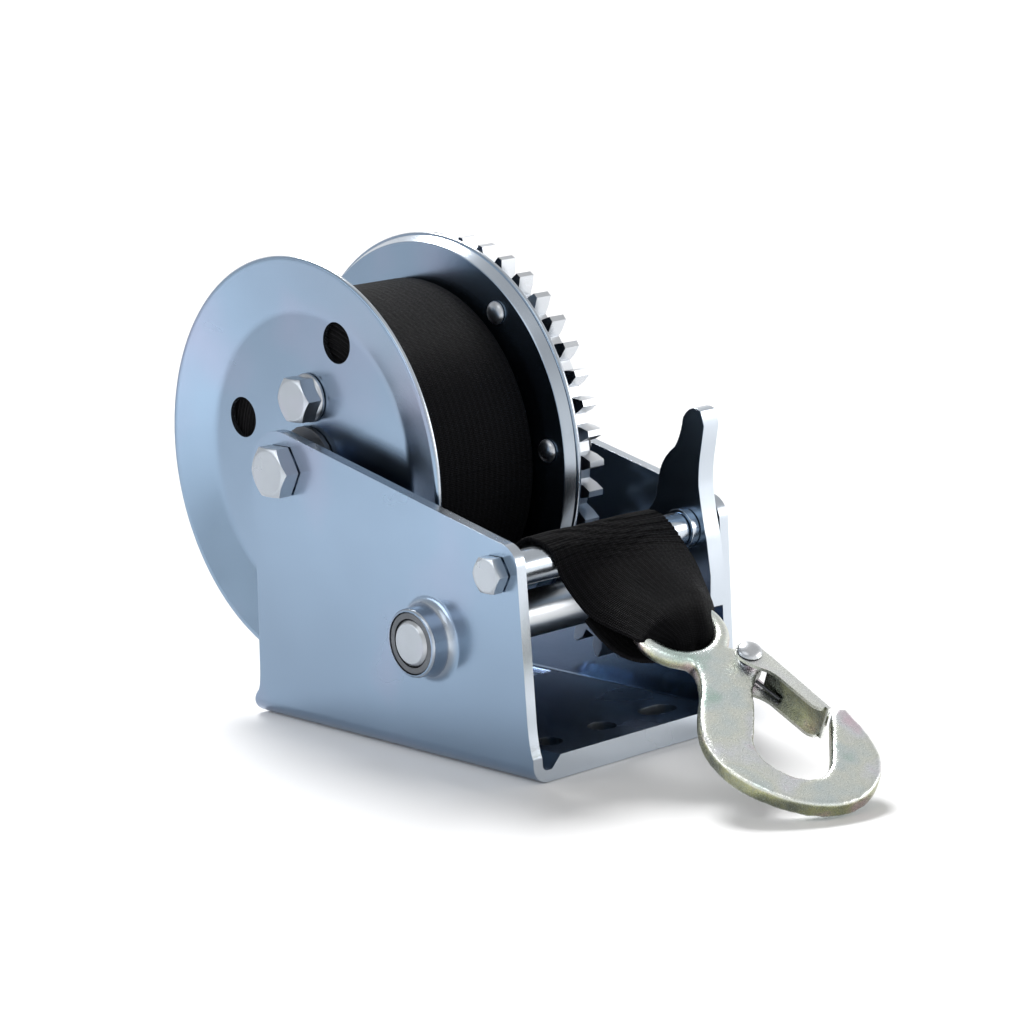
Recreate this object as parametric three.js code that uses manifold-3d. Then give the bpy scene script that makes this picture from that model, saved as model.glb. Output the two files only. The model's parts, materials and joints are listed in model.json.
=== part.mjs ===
// Hand-cranked boat trailer winch: a bent steel frame carries a strap drum with a spur gear,
// a pinion shaft with a crank handle, a pawl on the tie bolt, and a strap with a safety hook.
// Millimetres, +Z up. X runs along the axles with the gear on the +X side, -Y is the strap side.
// The origin is on the base's underside straight below the drum axle, midway between the flanges.
import * as THREE from 'three';
import { mergeVertices } from 'three/addons/utils/BufferGeometryUtils.js';
import Module from 'manifold-3d';

const wasm = await Module();
wasm.setup();

// ---- driving dimensions -------------------------------------------------------------------
const GAP = 0.3;                       // clearance between touching pieces

const PLATE = 4;                       // frame sheet
const LEFT = -41;                      // outer face of the left side plate
const RIGHT = 57;                      // outer face of the right side plate
const LEFT_IN = LEFT + PLATE;
const RIGHT_IN = RIGHT - PLATE;
const BASE_FRONT = -123.3;
const BASE_REAR = 24;
const PAD_RISE = 4;                    // the front of the base is pressed up by this much

const AXLE = { y: 0, z: 90.5 };
const SHAFT = { y: -75, z: 41.9 };
const TIE = { y: -109.3, z: 68.6 };

// Each flange's radius, the radius of its flat middle, and how far its rim flares outwards.
const LEFT_FLANGE = { side: -1, rim: 73.3, flat: 56, flare: 5 };
const RIGHT_FLANGE = { side: 1, rim: 74.2, flat: 69.4, flare: 3.6 };
const FLANGE_IN = 26;                  // half the space between the flanges
const FLANGE_SHEET = 2;
const HUB_R = 15;
const ROLL_R = 59;
const WEBBING = 48.6;
const ROLL_X = [-25.6, 23];            // the strap lies against the left flange, clear of the rivet heads
const CORE_R = 12;                     // centre hole of the flanges and the gear

const MODULE = 3.25;
const GEAR_TEETH = 43;
const PINION_TEETH = 12;
const GEAR_X = [36.5, 43];
const PINION_X = [36.5, 52.4];
const GEAR_PHASE = 6.2;                // degrees from -Y up to a gear tooth's middle
const TOOTH_THINNING = 0.55;
const RIVET_R = 63.2;
const RIVET_ANGLES = [2.6, 50.9, 140, 182.6, 230.9, 320];   // degrees from -Y upwards
const RIVET_HOLE_R = 2.3;

const AXLE_BOLT_R = 6;
const TIE_BOLT_R = 4;
const ANCHOR_BOLT_R = 5;
const ANCHOR = { r: 23.1, angle: 86.3 };
const SHAFT_R = 8;
const BOSS_R = 11.75;
const BOSS_HEIGHT = 9;
const BUSH_R = 10.4;

const ARM_X = [71, 76];
const GRIP_AXIS = { y: 123, z: 14.3 };
const GRIP_X = [79.5, 166];
const GRIP_PIN_R = 4;

const EYE_R = 13.4;                    // hook eye, middle of its bar
const EYE_BAR_R = 3.3;
const EYE_CENTRE = [1, -3.5];
const SWING_OFFSET = 12.4;             // eye centre to the axis on which the hook swings
const HOOK_THICK = 6.2;
const HOOK_PIN = [20.6, 11.4];
const HOOK_ORIGIN = [7, -148, 46.2];
const HOOK_YAW = -19.1;
const HOOK_DIP = 29.3;

const DEG = Math.PI / 180;

// ---- materials ----------------------------------------------------------------------------
function finish(color, roughness, metalness) {
  return new THREE.MeshStandardMaterial({ color, roughness, metalness });
}
const ZINC = [0xb4c3d6, 0.28, 1.0];
const BOLT_ZINC = [0xc9ced3, 0.34, 1.0];
const YELLOW_ZINC = [0xc8bd96, 0.38, 1.0];
const DARK_STEEL = [0x4a4d52, 0.5, 1.0];
const WEB_BLACK = [0x0d0d0f, 0.85, 0.0];
const GRIP_BLACK = [0x161617, 0.55, 0.0];
const BUSHING_GREY = [0x55585c, 0.6, 0.6];

// ---- closed shapes and booleans -----------------------------------------------------------
function signedVolume(position, index) {
  const a = new THREE.Vector3();
  const b = new THREE.Vector3();
  const c = new THREE.Vector3();
  let total = 0;
  for (let i = 0; i < index.length; i += 3) {
    a.fromBufferAttribute(position, index[i]);
    b.fromBufferAttribute(position, index[i + 1]);
    c.fromBufferAttribute(position, index[i + 2]);
    total += a.dot(b.cross(c));
  }
  return total / 6;
}

function solid(source) {
  const bare = source.clone();
  bare.deleteAttribute('normal');
  bare.deleteAttribute('uv');
  const merged = mergeVertices(bare, 1e-3);
  const all = Array.from(merged.index.array);
  let index = [];
  for (let i = 0; i < all.length; i += 3) {
    const [a, b, c] = all.slice(i, i + 3);
    if (a !== b && b !== c && c !== a) {
      index.push(a, b, c);
    }
  }
  if (signedVolume(merged.attributes.position, index) < 0) {
    index = index.reverse();
  }
  return new wasm.Manifold(new wasm.Mesh({
    numProp: 3,
    vertProperties: new Float32Array(merged.attributes.position.array),
    triVerts: new Uint32Array(index),
  }));
}

function geometryOf(body) {
  const mesh = body.getMesh();
  const geometry = new THREE.BufferGeometry();
  geometry.setAttribute('position', new THREE.BufferAttribute(new Float32Array(mesh.vertProperties), 3));
  geometry.setIndex(new THREE.BufferAttribute(new Uint32Array(mesh.triVerts), 1));
  geometry.computeVertexNormals();
  return geometry;
}

function join(bodies) {
  return bodies.reduce((whole, body) => whole.add(body));
}

function cut(body, tools) {
  return tools.reduce((rest, tool) => rest.subtract(tool), body);
}

// An outline in (Y, Z), pushed along X from x0 to x1.
const YZ_TO_X = new THREE.Matrix4().makeBasis(
  new THREE.Vector3(0, 1, 0), new THREE.Vector3(0, 0, 1), new THREE.Vector3(1, 0, 0));

function prism(shape, x0, x1, options = {}) {
  const geometry = new THREE.ExtrudeGeometry(shape, {
    depth: x1 - x0, bevelEnabled: false, curveSegments: 8, ...options });
  geometry.applyMatrix4(YZ_TO_X);
  geometry.translate(x0, 0, 0);
  return solid(geometry);
}

// An outline in (X, Z), pushed along Y from y0 to y1.
function prismAlongY(shape, y0, y1) {
  const geometry = new THREE.ExtrudeGeometry(shape, {
    depth: y1 - y0, bevelEnabled: false, curveSegments: 6 });
  geometry.rotateX(Math.PI / 2);
  geometry.translate(0, y1, 0);
  return solid(geometry);
}

// A profile of [radius, x] points, turned round the X axis.
function turned(profile, segments = 20, y = 0, z = 0) {
  const points = profile.map(([r, x]) => new THREE.Vector2(r, x));
  const geometry = new THREE.LatheGeometry(points, segments);
  geometry.rotateZ(-Math.PI / 2);
  geometry.translate(0, y, z);
  return solid(geometry);
}

function rod(r, x0, x1, y = 0, z = 0, segments = 20) {
  return turned([[0, x0], [r, x0], [r, x1], [0, x1]], segments, y, z);
}

function tube(inner, outer, x0, x1, y = 0, z = 0, segments = 20) {
  return turned([[inner, x0], [outer, x0], [outer, x1], [inner, x1], [inner, x0]], segments, y, z);
}

function polygon(points) {
  return new THREE.Shape(points.map(([a, b]) => new THREE.Vector2(a, b)));
}

// The same outline as plain corners, without any that lie closer together than `least`.
function cornersOf(shape, divisions, least = 0.4) {
  const kept = [];
  for (const point of shape.getPoints(divisions)) {
    if (!kept.length || point.distanceTo(kept[kept.length - 1]) > least) {
      kept.push(point);
    }
  }
  if (kept[0].distanceTo(kept[kept.length - 1]) < least) {
    kept.pop();
  }
  return new THREE.Shape(kept);
}

// A hexagon across `flats`, from x0 to x1, with its corners chamfered at the x1 end,
// or at the x0 end if `flip`.
function hexagon(flats, x0, x1, y = 0, z = 0, flip = false) {
  const corners = [];
  for (let i = 0; i < 6; i += 1) {
    const turn = i * 60 * DEG;
    corners.push([flats / Math.sqrt(3) * Math.cos(turn), flats / Math.sqrt(3) * Math.sin(turn)]);
  }
  const outer = flats / Math.sqrt(3) + 1;
  const flat = flats / 2 * 0.96;
  const drop = (outer - flat) * 0.55;
  const profile = flip
    ? [[0, x0], [flat, x0], [outer, x0 + drop], [outer, x1 + 1], [0, x1 + 1]]
    : [[0, x0 - 1], [outer, x0 - 1], [outer, x1 - drop], [flat, x1], [0, x1]];
  return prism(polygon(corners), x0, x1).intersect(turned(profile, 18)).translate([0, y, z]);
}

const model = new THREE.Group();

function add(group, name, body, look) {
  const mesh = new THREE.Mesh(geometryOf(body), finish(...look));
  mesh.name = name;
  group.add(mesh);
  return mesh;
}

// ---- frame --------------------------------------------------------------------------------
const TOP_SLOPE = 12.8;                // degrees, the side plates fall towards the strap side
const CORNER_R = 7.8;

// The front edge of a side plate leans from `top`, where the corner begins, to `foot`.
function sideOutline(top, foot) {
  const shape = new THREE.Shape();
  shape.moveTo(BASE_FRONT, 0);
  shape.lineTo(BASE_REAR - 2, 0);
  shape.quadraticCurveTo(BASE_REAR, 0.4, BASE_REAR, 2.5);
  shape.quadraticCurveTo(BASE_REAR - 0.2, 6.5, 21.4, 8.6);
  shape.quadraticCurveTo(19.8, 10, 19.4, 20);
  shape.lineTo(17.2, 66);
  shape.absarc(1.2, 87.9, 16, 0, (90 + TOP_SLOPE) * DEG, false);
  shape.absarc(top + CORNER_R, 71.1, CORNER_R, (90 + TOP_SLOPE) * DEG, Math.PI, false);
  shape.lineTo(foot, 22);
  shape.quadraticCurveTo(foot - 0.3, 12, BASE_FRONT, PLATE + PAD_RISE + 0.2);
  shape.closePath();
  return shape;
}

// The bent sheet seen along Y: base, two bends and two side plates; `pad` raises the middle.
function channelOutline(pad) {
  const shape = new THREE.Shape();
  const bend = 6;
  const inner = bend - PLATE;
  shape.moveTo(LEFT, 110);
  shape.lineTo(LEFT, bend);
  shape.absarc(LEFT + bend, bend, bend, Math.PI, 1.5 * Math.PI, false);
  if (pad) {
    shape.lineTo(LEFT + 9.5, 0);
    shape.lineTo(LEFT + 13.5, PAD_RISE);
    shape.lineTo(RIGHT - 13.5, PAD_RISE);
    shape.lineTo(RIGHT - 9.5, 0);
  }
  shape.absarc(RIGHT - bend, bend, bend, 1.5 * Math.PI, 2 * Math.PI, false);
  shape.lineTo(RIGHT, 110);
  shape.lineTo(RIGHT_IN, 110);
  shape.absarc(RIGHT - bend, bend, inner, 0, -0.5 * Math.PI, true);
  if (pad) {
    shape.lineTo(RIGHT - 8, PLATE);
    shape.lineTo(RIGHT - 12, PLATE + PAD_RISE);
    shape.lineTo(LEFT + 12, PLATE + PAD_RISE);
    shape.lineTo(LEFT + 8, PLATE);
  }
  shape.absarc(LEFT + bend, bend, inner, -0.5 * Math.PI, -Math.PI, true);
  shape.lineTo(LEFT_IN, 110);
  shape.closePath();
  return shape;
}

// The front of the base turns down to the bottom, and meets the two bends without a step.
function frontLip() {
  const lip = new THREE.Shape();
  const top = PLATE + PAD_RISE;
  const round = 3.5;
  lip.moveTo(BASE_FRONT, 0);
  lip.lineTo(BASE_FRONT + PLATE, 0);
  lip.lineTo(BASE_FRONT + PLATE, PLATE);
  lip.lineTo(BASE_FRONT + 8, PLATE);
  lip.lineTo(BASE_FRONT + 8, top);
  lip.lineTo(BASE_FRONT + round, top);
  lip.absarc(BASE_FRONT + round, top - round, round, 0.5 * Math.PI, Math.PI, false);
  lip.closePath();
  const across = polygon([
    [LEFT + 6, 0], [RIGHT - 6, 0], [RIGHT - 6, PLATE], [RIGHT - 8, PLATE], [RIGHT - 12, top],
    [LEFT + 12, top], [LEFT + 8, PLATE], [LEFT + 6, PLATE]]);
  return prism(lip, LEFT + 6, RIGHT - 6).intersect(prismAlongY(across, BASE_FRONT - 1, BASE_FRONT + 9));
}

// Points on an arc round (r, x) from one angle to another, in degrees.
function arc(r, x, radius, from, to, count) {
  return Array.from({ length: count + 1 }, (_, i) => {
    const angle = (from + (to - from) * i / count) * DEG;
    return [r + radius * Math.cos(angle), x + radius * Math.sin(angle)];
  });
}

// The bearing boss is drawn out of the plate, so it has a fillet at its foot and a rounded mouth.
function boss(outer, direction) {
  const foot = 3.4;
  const mouth = 1.2;
  const half = [
    [0, -PLATE / 2], [BOSS_R + foot, -PLATE / 2], ...arc(BOSS_R + foot, foot, foot, -90, -180, 5),
    ...arc(BOSS_R - mouth, BOSS_HEIGHT - mouth, mouth, 0, 90, 3), [0, BOSS_HEIGHT]];
  return turned(half.map(([r, x]) => [r, outer + direction * x]), 32, SHAFT.y, SHAFT.z);
}

const MOUNT_HOLES = [{ x: -20.9, slot: 0 }, { x: 3.6, slot: 0 }, { x: 29.8, slot: 2.5 }];
const MOUNT_HOLE_Y = -108.5;
const MOUNT_HOLE_R = 5;

function mountHole({ x, slot }) {
  const hole = new THREE.Shape();
  hole.absarc(x + slot, 0, MOUNT_HOLE_R, -Math.PI / 2, Math.PI / 2, false);
  hole.absarc(x - slot, 0, MOUNT_HOLE_R, Math.PI / 2, 1.5 * Math.PI, false);
  hole.closePath();
  const geometry = new THREE.ExtrudeGeometry(hole, { depth: 30, bevelEnabled: false, curveSegments: 12 });
  geometry.translate(0, MOUNT_HOLE_Y, -10);
  return solid(geometry);
}

function frame() {
  const padEnd = -40;
  const rampEnd = -32;
  const front = prismAlongY(channelOutline(true), BASE_FRONT, padEnd);
  const back = prismAlongY(channelOutline(false), padEnd, BASE_REAR);
  const ramp = prism(polygon([
    [padEnd - 3, PAD_RISE], [padEnd, PAD_RISE], [rampEnd, 0], [rampEnd + 2, 0], [rampEnd + 2, PLATE],
    [rampEnd, PLATE], [padEnd, PLATE + PAD_RISE], [padEnd - 3, PLATE + PAD_RISE]]),
  LEFT + 12.5, RIGHT - 12.5);
  const rampRoom = prism(polygon([
    [padEnd - 1, -1], [rampEnd, -1], [rampEnd, 0], [padEnd, PAD_RISE], [padEnd - 1, PAD_RISE]]),
  LEFT + 13, RIGHT - 13);
  const middle = (LEFT + RIGHT) / 2;
  const silhouette = prism(sideOutline(-119.7, -121.2), LEFT - 1, middle)
    .add(prism(sideOutline(-118.2, -118.4), middle, RIGHT + 1));
  const sheet = join([front, back.subtract(rampRoom), ramp]).intersect(silhouette);
  const whole = join([sheet, frontLip(), boss(LEFT, -1), boss(RIGHT, 1)]);
  const reach = [LEFT - 20, RIGHT + 20];
  return cut(whole, [
    rod(BUSH_R + GAP, ...reach, SHAFT.y, SHAFT.z, 28),
    rod(AXLE_BOLT_R + GAP, ...reach, AXLE.y, AXLE.z),
    rod(TIE_BOLT_R + GAP, ...reach, TIE.y, TIE.z),
    ...MOUNT_HOLES.map(mountHole)]);
}

// ---- bolts, nuts and spacers fixed to the frame -------------------------------------------
function bolt(r, flats, height, headFace, end, at) {
  const head = hexagon(flats, headFace - height, headFace - GAP, at.y, at.z, true);
  const chamfer = r * 0.16;
  const shank = turned([[0, headFace - 1], [r, headFace - 1], [r, end - chamfer],
    [r - chamfer, end], [0, end]], 20, at.y, at.z);
  return head.add(shank);
}

function nut(r, flats, x0, x1, at) {
  return cut(hexagon(flats, x0, x1, at.y, at.z), [rod(r + GAP, x0 - 1, x1 + 1, at.y, at.z)]);
}

function addFixedHardware(group) {
  add(group, 'drum_axle_bolt', bolt(AXLE_BOLT_R, 17, 6.6, LEFT, RIGHT + 13, AXLE), BOLT_ZINC);
  add(group, 'drum_axle_washer',
    tube(AXLE_BOLT_R + GAP, 12, RIGHT + GAP, RIGHT + 2.3, AXLE.y, AXLE.z), BOLT_ZINC);
  add(group, 'drum_axle_nut', nut(AXLE_BOLT_R, 17, RIGHT + 2.6, RIGHT + 12, AXLE), BOLT_ZINC);
  add(group, 'axle_spacer_left',
    tube(AXLE_BOLT_R + GAP, 9.5, LEFT_IN + GAP, -FLANGE_IN - 4.6, AXLE.y, AXLE.z), ZINC);
  add(group, 'axle_spacer_right',
    tube(AXLE_BOLT_R + GAP, 9.5, GEAR_X[1] + 2.6, RIGHT_IN - GAP, AXLE.y, AXLE.z), ZINC);
  add(group, 'tie_bolt', bolt(TIE_BOLT_R, 11.6, 4.8, LEFT, RIGHT + 1.4, TIE), BOLT_ZINC);
  add(group, 'tie_spacer_tube',
    tube(TIE_BOLT_R + GAP, 5.9, LEFT_IN + GAP, 41.7, TIE.y, TIE.z), ZINC);
  add(group, 'pawl_spacer', tube(TIE_BOLT_R + GAP, 7, 42, 45.2, TIE.y, TIE.z), ZINC);
  for (const [name, outer, direction] of [['left', LEFT, -1], ['right', RIGHT, 1]]) {
    const ends = [outer - direction * PLATE, outer + direction * (BOSS_HEIGHT - GAP)];
    ends.sort((a, b) => a - b);
    add(group, `shaft_bushing_${name}`,
      tube(SHAFT_R + GAP, BUSH_R, ...ends, SHAFT.y, SHAFT.z, 28), BUSHING_GREY);
  }
}

// ---- drum ---------------------------------------------------------------------------------
function flangeProfile({ side, rim, flat, flare }) {
  const inner = FLANGE_IN;
  const outer = FLANGE_IN + FLANGE_SHEET;
  const half = [
    [CORE_R, inner], [flat, inner], [flat + (rim - flat) * 0.14, inner + flare * 0.08],
    [rim - 1, inner + flare - 0.3], [rim, inner + flare + 0.5], [rim, outer + flare],
    [rim - 1.6, outer + flare - 0.3], [flat + (rim - flat) * 0.1, outer + flare * 0.08],
    [flat - 0.6, outer], [CORE_R, outer], [CORE_R, inner]];
  return half.map(([r, x]) => [r, side * x]);
}

// A place on the drum, by radius and by degrees from -Y upwards.
function around(r, angle) {
  return { y: -r * Math.cos(angle * DEG), z: r * Math.sin(angle * DEG) };
}

function flange(shape, holes) {
  const reach = [shape.side * 20, shape.side * 40];
  const tools = holes.map(({ r, at }) => rod(r, ...reach, at.y, at.z, r > 6 ? 24 : 16));
  return cut(turned(flangeProfile(shape), 52), tools);
}

function rivet(at) {
  const head = FLANGE_IN - GAP;
  const far = GEAR_X[1];
  const shank = RIVET_HOLE_R - GAP;
  const outer = FLANGE_IN + FLANGE_SHEET;
  return turned([
    [0, head - 2.2], [2.4, head - 1.8], [4.1, head], [shank, head], [shank, outer + GAP],
    [4.6, outer + GAP], [4.6, GEAR_X[0] - GAP], [shank, GEAR_X[0] - GAP], [shank, far + GAP],
    [3.2, far + GAP], [2.2, far + 1.2], [0, far + 1.4]],
  16, at.y, at.z);
}

function rivetPlaces() {
  return RIVET_ANGLES.map((angle) => around(RIVET_R, angle));
}

// Half the angle that a tooth spans at radius r, on an involute of 20 degrees.
function halfTooth(teeth, r) {
  const pressure = 20 * DEG;
  const pitch = MODULE * teeth / 2;
  const base = pitch * Math.cos(pressure);
  const involute = (a) => Math.tan(a) - a;
  const atPitch = (Math.PI * MODULE / 2 - TOOTH_THINNING) / 2 / pitch;
  return atPitch + involute(pressure) - involute(Math.acos(Math.min(1, base / r)));
}

function toothedOutline(teeth, phase) {
  const pitch = MODULE * teeth / 2;
  const rootR = pitch - 1.22 * MODULE;
  const tipR = pitch + 0.94 * MODULE;
  const radii = [0, 0.5, 1].map((t) => rootR + t * (tipR - rootR));
  const points = [];
  for (let i = 0; i < teeth; i += 1) {
    const middle = (phase + i * 360 / teeth) * DEG;
    const flank = radii.map((r) => [r, halfTooth(teeth, r)]);
    const rising = flank.map(([r, half]) => [r, middle - half]);
    const falling = flank.map(([r, half]) => [r, middle + half]).reverse();
    for (const [r, angle] of [...rising, ...falling]) {
      points.push([-r * Math.cos(angle), r * Math.sin(angle)]);
    }
  }
  return polygon(points);
}

function drumGear() {
  const blank = prism(toothedOutline(GEAR_TEETH, GEAR_PHASE), ...GEAR_X);
  const reach = [GEAR_X[0] - 1, GEAR_X[1] + 1];
  const rivetHoles = rivetPlaces().map((at) => rod(RIVET_HOLE_R, ...reach, at.y, at.z, 16));
  const relief = around(ANCHOR.r, ANCHOR.angle);
  return cut(blank, [
    rod(CORE_R, ...reach),
    rod(ANCHOR_BOLT_R + GAP, ...reach, relief.y, relief.z, 24),
    ...rivetHoles]);
}

function hubBushing(side, collarX) {
  const profile = [
    [AXLE_BOLT_R + GAP, 14], [CORE_R - GAP, 14], [CORE_R - GAP, collarX], [13.6, collarX],
    [13.6, collarX + 2], [AXLE_BOLT_R + GAP, collarX + 2], [AXLE_BOLT_R + GAP, 14]];
  return turned(profile.map(([r, x]) => [r, side * x]));
}

function addDrum() {
  const drum = new THREE.Group();
  drum.position.set(0, AXLE.y, AXLE.z);
  const anchor = around(ANCHOR.r, ANCHOR.angle);
  const boltHole = { r: ANCHOR_BOLT_R + GAP, at: anchor };
  const lightening = [
    { r: 7.25, at: { y: -17.9, z: 44 } },
    { r: 7.25, at: { y: 37.2, z: 12.9 } }];
  const rivets = rivetPlaces();
  const rivetHoles = rivets.map((at) => ({ r: RIVET_HOLE_R, at }));
  add(drum, 'flange_left', flange(LEFT_FLANGE, [boltHole, ...lightening]), ZINC);
  add(drum, 'flange_right', flange(RIGHT_FLANGE, [boltHole, ...rivetHoles]), ZINC);
  const inside = FLANGE_IN - GAP;
  add(drum, 'hub_tube', tube(CORE_R + GAP, HUB_R, -inside, inside), DARK_STEEL);
  add(drum, 'hub_bushing_left', hubBushing(-1, FLANGE_IN + FLANGE_SHEET + GAP), BUSHING_GREY);
  add(drum, 'hub_bushing_right', hubBushing(1, GEAR_X[1] + GAP), BUSHING_GREY);
  const outside = FLANGE_IN + FLANGE_SHEET + GAP;
  add(drum, 'gear_spacer', tube(CORE_R + GAP, 17.4, outside, GEAR_X[0] - GAP), ZINC);
  add(drum, 'drum_gear', drumGear(), ZINC);
  rivets.forEach((at, i) => add(drum, `gear_rivet_${i + 1}`, rivet(at), BOLT_ZINC));
  const roll = cut(tube(HUB_R + GAP, ROLL_R, ...ROLL_X, 0, 0, 48),
    [rod(ANCHOR_BOLT_R + GAP, -30, 30, anchor.y, anchor.z)]);
  add(drum, 'strap_roll', roll, WEB_BLACK);
  const seat = -outside;
  const end = GEAR_X[0] - 1;
  const anchorBolt = hexagon(15, seat - 8, seat - 1.8, anchor.y, anchor.z, true)
    .add(rod(8.6, seat - 2, seat, anchor.y, anchor.z))
    .add(rod(ANCHOR_BOLT_R, seat - 1, end, anchor.y, anchor.z));
  add(drum, 'strap_anchor_bolt', anchorBolt, BOLT_ZINC);
  const anchorNut = cut(hexagon(16, outside, end - 0.6, anchor.y, anchor.z),
    [rod(ANCHOR_BOLT_R + GAP, 20, 50, anchor.y, anchor.z)]);
  add(drum, 'strap_anchor_nut', cut(anchorNut, [rod(17.4 + GAP, 20, 50)]), BOLT_ZINC);
  model.add(drum);
}

// ---- pinion shaft and crank ---------------------------------------------------------------
// The pinion's phase puts a tooth gap where the gear has a tooth, on the line of centres.
function pinionPhase() {
  const line = Math.atan2(SHAFT.z - AXLE.z, AXLE.y - SHAFT.y) / DEG;
  const past = (line - GEAR_PHASE) * GEAR_TEETH / PINION_TEETH;
  return 180 + line + past + 180 / PINION_TEETH;
}

// A round bar of radius r with two flats at +-flat along Z.
function doubleD(r, flat) {
  const half = Math.asin(flat / r);
  const shape = new THREE.Shape();
  shape.absarc(0, 0, r, -half, half, false);
  shape.absarc(0, 0, r, Math.PI - half, Math.PI + half, false);
  shape.closePath();
  return shape;
}

function driveShaft(turn) {
  const end = LEFT - BOSS_HEIGHT - 0.4;
  const round = turned([
    [0, end], [6.85, end], [SHAFT_R, end + 1.2], [SHAFT_R, ARM_X[0] - GAP], [0, ARM_X[0] - GAP]], 36);
  const flats = prism(doubleD(7, 5.2), ARM_X[0] - 1, ARM_X[1] + 0.5).rotate([turn / DEG, 0, 0]);
  const stud = turned([[0, ARM_X[1]], [5, ARM_X[1]], [5, 87.2], [4.2, 88], [0, 88]], 24);
  return join([round, flats, stud]);
}

function crankArm(reach) {
  const arm = new THREE.Shape();
  arm.absarc(0, 0, 15, Math.PI / 2, 1.5 * Math.PI, false);
  arm.lineTo(18, -12.5);
  arm.lineTo(reach, -12.5);
  arm.absarc(reach, 0, 12.5, -Math.PI / 2, Math.PI / 2, false);
  arm.lineTo(18, 12.5);
  arm.closePath();
  return cut(prism(arm, ...ARM_X, { curveSegments: 14 }), [
    prism(doubleD(7 + GAP, 5.2 + GAP), ARM_X[0] - 1, ARM_X[1] + 1),
    rod(GRIP_PIN_R + GAP, ARM_X[0] - 1, ARM_X[1] + 1, reach, 0, 24)]);
}

function grip() {
  const [start, end] = GRIP_X;
  const bore = GRIP_PIN_R + GAP;
  return turned([
    [bore, start], [12.5, start], [14, start + 1.5], [14, start + 5], [12, start + 9], [11.6, start + 20],
    [13, start + 42], [13.4, start + 58], [12.6, end - 14], [11.8, end - 8], [13.6, end - 4],
    [13.2, end - 1], [11.6, end], [8.6, end], [8.6, end - 6], [bore, end - 6], [bore, start]], 24);
}

function addDrive() {
  const drive = new THREE.Group();
  drive.position.set(0, SHAFT.y, SHAFT.z);
  const across = GRIP_AXIS.y - SHAFT.y;
  const down = GRIP_AXIS.z - SHAFT.z;
  const reach = Math.hypot(across, down);
  const turn = Math.atan2(down, across);
  add(drive, 'drive_shaft', driveShaft(turn), BOLT_ZINC);
  const pinion = cut(prism(toothedOutline(PINION_TEETH, pinionPhase()), ...PINION_X),
    [rod(SHAFT_R + GAP, 30, 60)]);
  add(drive, 'pinion_gear', pinion, BOLT_ZINC);
  add(drive, 'shaft_collar', tube(SHAFT_R + GAP, 12.5, LEFT_IN + GAP, LEFT_IN + 7), ZINC);
  add(drive, 'crank_washer', tube(5 + GAP, 11, ARM_X[1] + 0.8, ARM_X[1] + 2.8), BOLT_ZINC);
  add(drive, 'crank_nut', nut(5, 17, ARM_X[1] + 3.1, ARM_X[1] + 10.6, { y: 0, z: 0 }), BOLT_ZINC);

  const crank = new THREE.Group();
  crank.rotation.x = turn;
  add(crank, 'crank_arm', crankArm(reach), ZINC);
  const grips = new THREE.Group();
  grips.position.set(0, reach, 0);
  const pin = turned([
    [0, ARM_X[0] - 3], [5.4, ARM_X[0] - 3], [7, ARM_X[0] - 1.4], [7, ARM_X[0] - GAP],
    [GRIP_PIN_R, ARM_X[0] - GAP], [GRIP_PIN_R, GRIP_X[1] - 5.7], [7.6, GRIP_X[1] - 5.7],
    [7.6, GRIP_X[1] - 3.4], [5.5, GRIP_X[1] - 1.6], [0, GRIP_X[1] - 1.2]], 24);
  add(grips, 'grip_pin', pin, BOLT_ZINC);
  add(grips, 'grip_washer', tube(GRIP_PIN_R + GAP, 11, ARM_X[1] + GAP, GRIP_X[0] - GAP), BOLT_ZINC);
  add(grips, 'crank_grip', grip(), GRIP_BLACK);
  crank.add(grips);
  drive.add(crank);
  model.add(drive);
}

// ---- pawl ---------------------------------------------------------------------------------
const PAWL_X = [45.5, 52.5];

function pawlOutline() {
  const shape = new THREE.Shape();
  shape.moveTo(-118.4, 109.6);
  shape.quadraticCurveTo(-113.5, 112, -109.9, 106.7);
  shape.quadraticCurveTo(-108.6, 100.5, -105.5, 96.3);
  shape.quadraticCurveTo(-98.4, 91.5, -97.3, 85.5);
  shape.lineTo(-95.3, 77.8);
  shape.quadraticCurveTo(-93, 73.5, -88.2, 70.2);
  shape.lineTo(-88.6, 64.2);
  shape.quadraticCurveTo(-99, 60.5, -104.5, 57);
  shape.quadraticCurveTo(-111, 52.5, -113.4, 42.6);
  shape.quadraticCurveTo(-116.6, 39.4, -119.9, 42.2);
  shape.lineTo(-120.5, 53.2);
  shape.lineTo(-119.2, 65.1);
  shape.quadraticCurveTo(-117.2, 74, -116.3, 83.7);
  shape.quadraticCurveTo(-116.4, 90, -118.2, 97);
  shape.lineTo(-119.9, 104.6);
  shape.closePath();
  return shape;
}

function addPawl() {
  const group = new THREE.Group();
  const lever = prism(pawlOutline(), ...PAWL_X, { curveSegments: 5 });
  const bore = rod(TIE_BOLT_R + GAP, 40, 56, TIE.y, TIE.z);
  add(group, 'pawl', cut(lever, [bore]), ZINC);
  model.add(group);
}

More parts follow.
